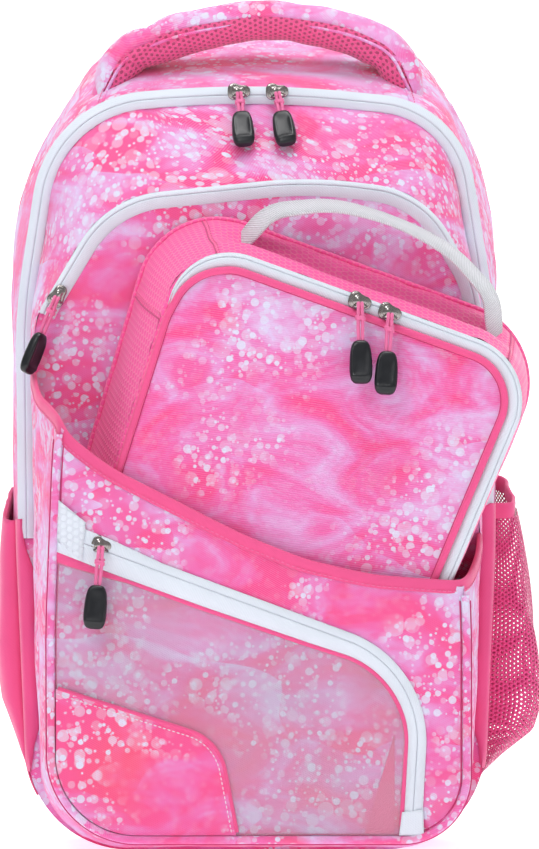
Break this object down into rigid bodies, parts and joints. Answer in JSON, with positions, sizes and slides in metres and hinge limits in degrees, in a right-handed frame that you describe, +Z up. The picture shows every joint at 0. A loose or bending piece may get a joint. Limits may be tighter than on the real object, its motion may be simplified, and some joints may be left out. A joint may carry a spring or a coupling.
{
  "type": "school backpack",
  "caption": "Soft school backpack with a carry handle, shoulder straps, zipped sections, a slip pocket and side pockets, holding a small zipped lunch bag.",
  "frame": {"origin": "on the floor under the front part of the base panel, midway between the sides", "axes": "+Z up, -Y towards the front with the pockets, +X to the right as seen from the front"},
  "size_m": [0.3105, 0.2855, 0.4821],
  "materials": {
    "print_fabric": "printed polyester twill, matte with a soft sheen",
    "plain_fabric": "plain pink polyester twill, matte",
    "ripstop": "pink ripstop with a small hexagon grid, satin",
    "spacer_mesh": "pink spacer mesh with small round holes, matte",
    "pocket_mesh": "open elastic net, pink, matte",
    "zip_tape": "white woven zip tape, matte",
    "clear_film": "clear soft vinyl, glossy",
    "foam": "closed-cell foam, matte",
    "insulation": "silver laminated insulation, satin",
    "white_webbing": "white grosgrain webbing, matte",
    "pink_webbing": "pink polyester webbing, matte",
    "buckle_plastic": "black moulded plastic, matte",
    "slider_metal": "nickel-plated zinc, polished",
    "pull_cord": "light pink braided cord, matte",
    "grip_rubber": "black moulded rubber, satin"
  },
  "bodies": {
    "pack": {"back_foam": "foam", "back_pads": "spacer_mesh", "back_panel": "plain_fabric", "base_panel": "plain_fabric", "corner_patch": "print_fabric", "hang_loop": "pink_webbing", "left_side_pocket": "plain_fabric", "left_strap_webbing": "pink_webbing", "main_front_panel": "print_fabric", "main_left_gusset": "print_fabric", "main_right_gusset": "print_fabric", "main_top_gusset": "print_fabric", "main_zip_tape": "zip_tape", "pocket_binding": "plain_fabric", "pocket_front_panel": "print_fabric", "pocket_left_gusset": "print_fabric", "pocket_piping": "print_fabric", "pocket_right_gusset": "print_fabric", "right_mesh_pocket": "pocket_mesh", "right_pocket_binding": "plain_fabric", "right_strap_webbing": "pink_webbing", "second_front_panel": "print_fabric", "second_gusset": "print_fabric", "second_zip_tape": "zip_tape", "strap_anchors": "plain_fabric", "window_binding": "plain_fabric", "window_panel": "clear_film", "zip_pocket_tape": "zip_tape"},
    "carry_handle": {"handle_cover": "print_fabric", "handle_lining": "spacer_mesh", "handle_core": "foam"},
    "left_strap": {"left_strap_pad": "print_fabric", "left_strap_buckle": "buckle_plastic"},
    "right_strap": {"right_strap_pad": "print_fabric", "right_strap_buckle": "buckle_plastic"},
    "lunch_bag": {"lunch_back_panel": "plain_fabric", "lunch_front_panel": "print_fabric", "lunch_gusset": "ripstop", "lunch_liner": "insulation", "lunch_piping": "plain_fabric", "lunch_zip_tape": "zip_tape"},
    "lunch_handle": {"lunch_handle": "white_webbing"},
    "main_left_slider": {"main_left_slider": "slider_metal"},
    "main_left_pull": {"main_left_pull_loop": "pull_cord", "main_left_pull_grip": "grip_rubber"},
    "main_right_slider": {"main_right_slider": "slider_metal"},
    "main_right_pull": {"main_right_pull_loop": "pull_cord", "main_right_pull_grip": "grip_rubber"},
    "second_slider": {"second_slider": "slider_metal"},
    "second_pull": {"second_pull_loop": "pull_cord", "second_pull_grip": "grip_rubber"},
    "pocket_slider": {"pocket_slider": "slider_metal"},
    "pocket_pull": {"pocket_pull_loop": "pull_cord", "pocket_pull_grip": "grip_rubber"},
    "lunch_left_slider": {"lunch_left_slider": "slider_metal"},
    "lunch_left_pull": {"lunch_left_pull_loop": "pull_cord", "lunch_left_pull_grip": "grip_rubber"},
    "lunch_right_slider": {"lunch_right_slider": "slider_metal"},
    "lunch_right_pull": {"lunch_right_pull_loop": "pull_cord", "lunch_right_pull_grip": "grip_rubber"}
  },
  "joints": [
    {"name": "main_left_zip", "type": "slide", "parent": "pack", "child": "main_left_slider", "axis": [-0.9981, 0, -0.061], "range_m": [0, 0.054]},
    {"name": "main_left_pull_swing", "type": "hinge", "parent": "main_left_slider", "child": "main_left_pull", "pos_m": [-0.00929, -0.017, 0.42602], "axis": [-0.9945, 0, -0.1045], "range_deg": [0, 95]},
    {"name": "main_right_zip", "type": "slide", "parent": "pack", "child": "main_right_slider", "axis": [0.998, 0, -0.063], "range_m": [0, 0.052]},
    {"name": "main_right_pull_swing", "type": "hinge", "parent": "main_right_slider", "child": "main_right_pull", "pos_m": [0.01252, -0.017, 0.42605], "axis": [-0.9848, 0, -0.1736], "range_deg": [0, 95]},
    {"name": "second_zip", "type": "slide", "parent": "pack", "child": "second_slider", "axis": [0.5135, 0, 0.8581], "range_m": [0, 0.036]},
    {"name": "second_pull_swing", "type": "hinge", "parent": "second_slider", "child": "second_pull", "pos_m": [-0.11162, -0.055, 0.30972], "axis": [-0.9272, 0, 0.3746], "range_deg": [0, 150]},
    {"name": "pocket_zip", "type": "slide", "parent": "pack", "child": "pocket_slider", "axis": [0.9382, 0, -0.3461], "range_m": [0, 0.14]},
    {"name": "pocket_pull_swing", "type": "hinge", "parent": "pocket_slider", "child": "pocket_pull", "pos_m": [-0.08426, -0.123, 0.17181], "axis": [-0.9962, 0, 0.0872], "range_deg": [0, 150]},
    {"name": "lunch_left_zip", "type": "slide", "parent": "lunch_bag", "child": "lunch_left_slider", "axis": [-0.9397, 0, 0.342], "range_m": [0, 0.055]},
    {"name": "lunch_left_pull_swing", "type": "hinge", "parent": "lunch_left_slider", "child": "lunch_left_pull", "pos_m": [0.05723, -0.1165, 0.305], "axis": [-1, 0, -0.0087], "range_deg": [0, 150]},
    {"name": "lunch_right_zip", "type": "slide", "parent": "lunch_bag", "child": "lunch_right_slider", "axis": [0.9397, 0, -0.342], "range_m": [0, 0.05]},
    {"name": "lunch_right_pull_swing", "type": "hinge", "parent": "lunch_right_slider", "child": "lunch_right_pull", "pos_m": [0.07349, -0.1165, 0.29901], "axis": [-0.9976, 0, 0.0698], "range_deg": [0, 150]},
    {"name": "lunch_bag_lift", "type": "slide", "parent": "pack", "child": "lunch_bag", "axis": [0.342, 0, 0.9397], "range_m": [0, 0.24]},
    {"name": "lunch_handle_fold", "type": "hinge", "parent": "lunch_bag", "child": "lunch_handle", "pos_m": [0.0639, -0.072, 0.32022], "axis": [0.9397, 0, -0.342], "range_deg": [-6, 35], "stiffness_Nm_per_rad": 0.05},
    {"name": "carry_handle_tilt", "type": "hinge", "parent": "pack", "child": "carry_handle", "pos_m": [0, 0.024, 0.43], "axis": [1, 0, 0], "range_deg": [-8, 12], "stiffness_Nm_per_rad": 0.3},
    {"name": "left_strap_swing", "type": "hinge", "parent": "pack", "child": "left_strap", "pos_m": [-0.05, 0.098, 0.424], "axis": [1, 0, 0], "range_deg": [0, 15], "deforming": ["left_strap_webbing"]},
    {"name": "right_strap_swing", "type": "hinge", "parent": "pack", "child": "right_strap", "pos_m": [0.05, 0.098, 0.424], "axis": [1, 0, 0], "range_deg": [0, 15], "deforming": ["right_strap_webbing"]}
  ]
}
